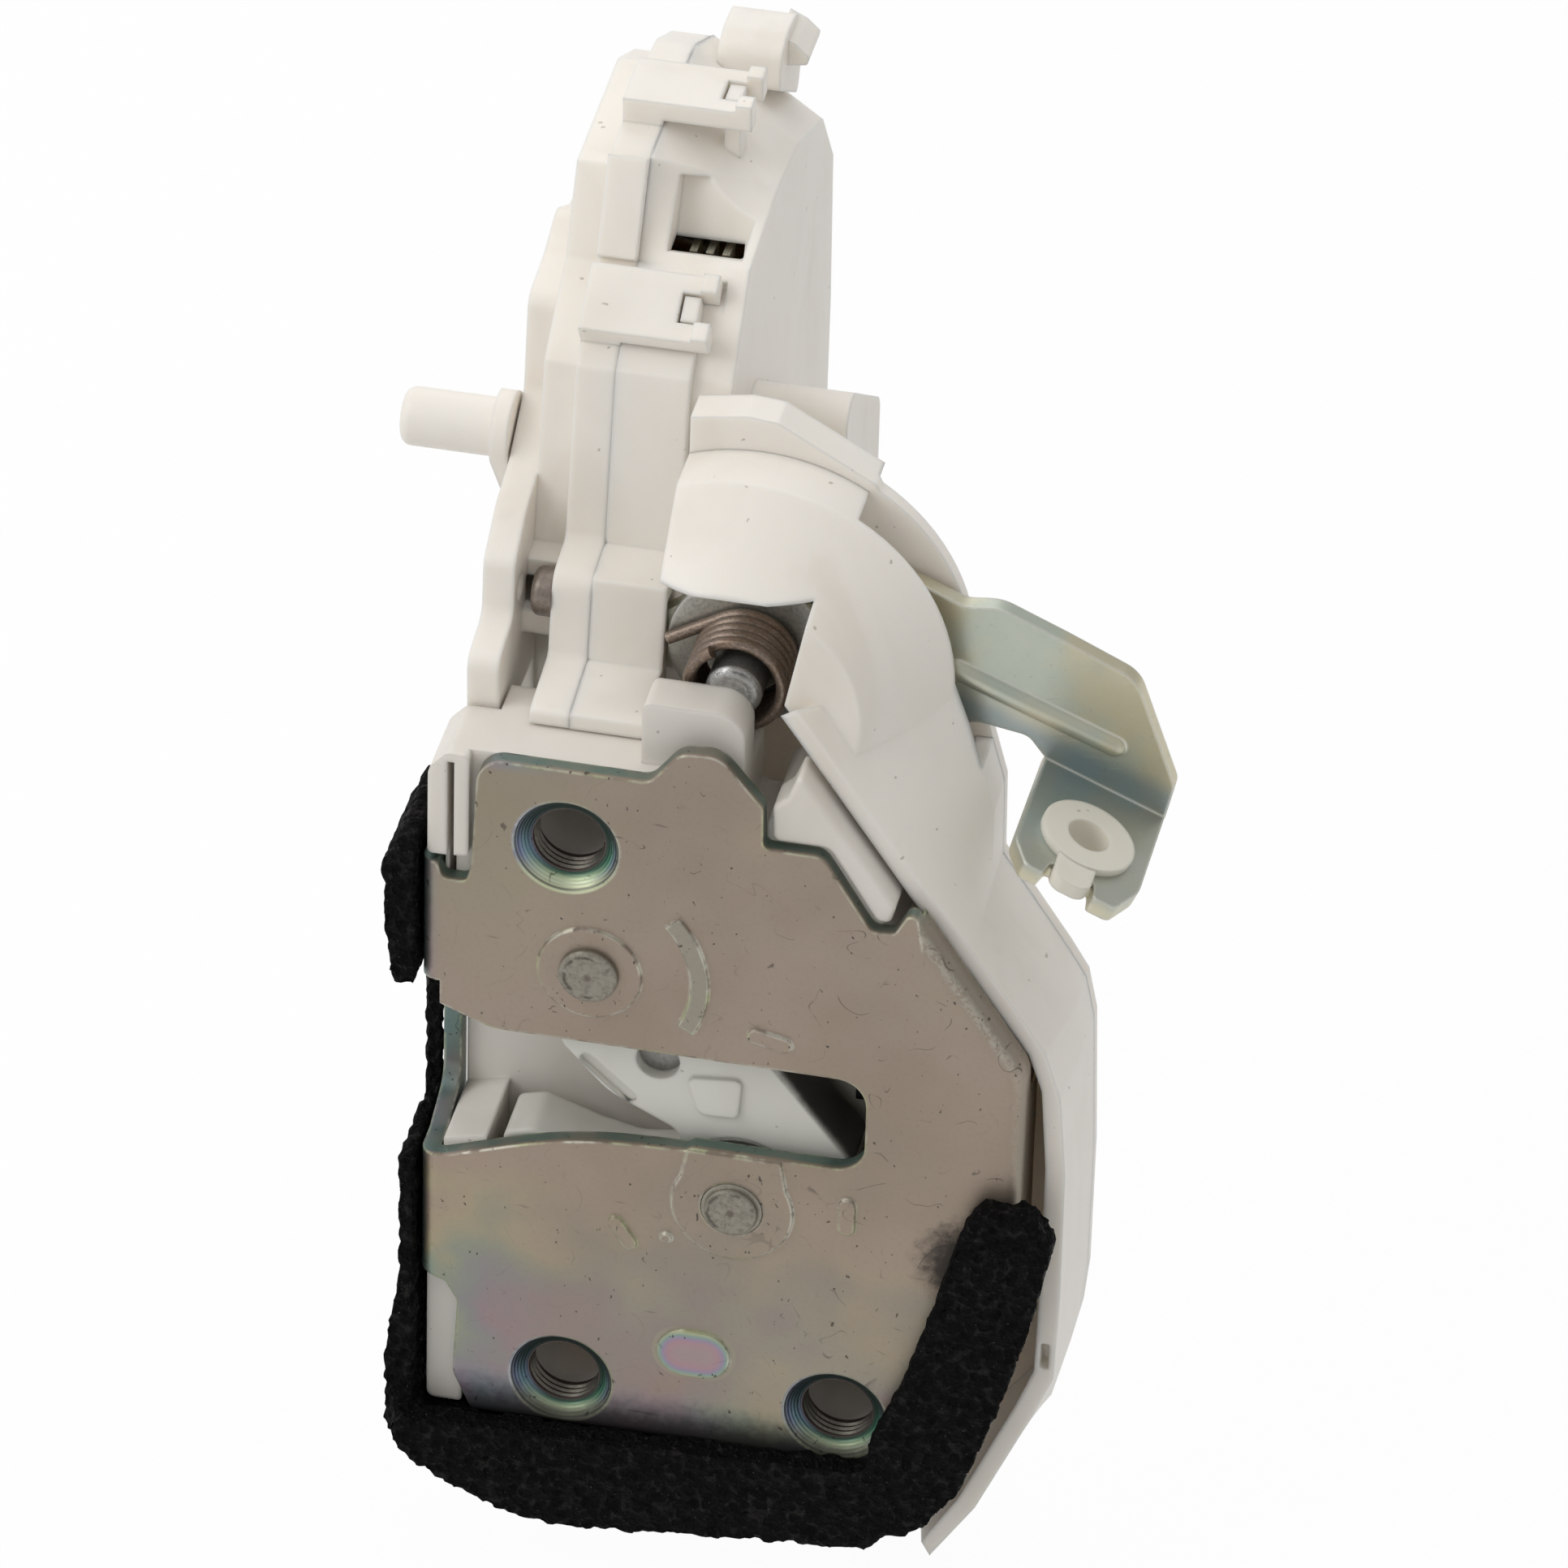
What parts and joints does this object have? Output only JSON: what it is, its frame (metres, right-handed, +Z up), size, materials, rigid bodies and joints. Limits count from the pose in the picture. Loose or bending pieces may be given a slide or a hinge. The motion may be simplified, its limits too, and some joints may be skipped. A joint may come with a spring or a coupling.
{
  "type": "door latch actuator",
  "caption": "Door latch with a pressed steel mounting plate, rotating catch and pawl, outside release lever, moulded two-shell lock housing and a black foam seal.",
  "frame": {"origin": "centre of the upper fixing point, on the outer face of the mounting plate", "axes": "+X towards the outer side of the door, +Y into the door away from the mounting plate, +Z up"},
  "size_m": [0.0887, 0.0884, 0.1628],
  "materials": {
    "zinc_steel": "zinc plated with a faint yellow and violet passivation",
    "plain_steel": "bright plated",
    "spring_steel": "dark oil tempered wire",
    "white_acetal": "opaque white acetal",
    "natural_plastic": "natural milky plastic that lets a little light through",
    "black_foam": "open black foam",
    "black_rubber": "soft black rubber",
    "motor_can": "bright plated can",
    "brass": "plain brass"
  },
  "bodies": {
    "housing": {"base_plate": "zinc_steel", "catch_rivet": "plain_steel", "pawl_rivet": "plain_steel", "latch_body": "white_acetal", "striker_bumper": "black_rubber", "back_plate": "zinc_steel", "side_cover": "natural_plastic", "rear_cover": "natural_plastic", "case_left": "natural_plastic", "case_right": "natural_plastic", "case_screws": "plain_steel", "foam_seal": "black_foam", "handle_spindle": "plain_steel", "spindle_washer": "plain_steel", "handle_spring": "spring_steel", "catch_spring": "spring_steel", "pawl_spring": "spring_steel", "lock_motor": "motor_can", "terminal_block": "natural_plastic", "connector_terminals": "brass"},
    "catch": {"catch_core": "plain_steel", "catch_cover": "white_acetal"},
    "pawl": {"pawl": "plain_steel"},
    "outside_lever": {"outside_lever": "zinc_steel", "rod_clip": "natural_plastic"},
    "release_link": {"release_link": "plain_steel"},
    "lock_lever": {"lock_lever": "white_acetal"},
    "worm_wheel": {"worm_wheel": "white_acetal"},
    "worm": {"worm": "brass"}
  },
  "joints": [
    {"name": "catch_turn", "type": "hinge", "parent": "housing", "child": "catch", "pos_m": [0.0192, 0.007, -0.045], "axis": [0, 1, 0], "range_deg": [0, 70], "stiffness_Nm_per_rad": 0.12, "springref_deg": -22.92},
    {"name": "outside_lever_turn", "type": "hinge", "parent": "housing", "child": "outside_lever", "pos_m": [0.0159, 0.02, 0.0165], "axis": [0, -1, 0], "range_deg": [0, 25], "stiffness_Nm_per_rad": 0.25, "springref_deg": -22.92},
    {"name": "pawl_lift", "type": "hinge", "parent": "housing", "child": "pawl", "pos_m": [0.0028, 0.007, -0.016], "axis": [0, -1, 0], "range_deg": [0, 14]},
    {"name": "release_link_slide", "type": "slide", "parent": "housing", "child": "release_link", "axis": [0, 0, -1], "range_m": [0, 0.0054]},
    {"name": "wheel_turn", "type": "hinge", "parent": "housing", "child": "worm_wheel", "pos_m": [-0.003, 0.046, 0.0142], "axis": [1, 0, 0], "range_deg": [-80, 0]},
    {"name": "lock_lever_turn", "type": "hinge", "parent": "housing", "child": "lock_lever", "pos_m": [-0.0148, 0.046, 0.0142], "axis": [1, 0, 0], "range_deg": [-25, 0]},
    {"name": "worm_turn", "type": "hinge", "parent": "housing", "child": "worm", "pos_m": [-0.003, 0.046, 0.0322], "axis": [0, 1, 0], "range_deg": [-960, 0]}
  ],
  "couplings": [
    {"joint": "pawl_lift", "follows": "outside_lever_turn", "ratio": 0.56},
    {"joint": "release_link_slide", "follows": "outside_lever_turn", "m_per_rad": 0.012375},
    {"joint": "lock_lever_turn", "follows": "wheel_turn", "ratio": 0.3125},
    {"joint": "worm_turn", "follows": "wheel_turn", "ratio": 12}
  ]
}
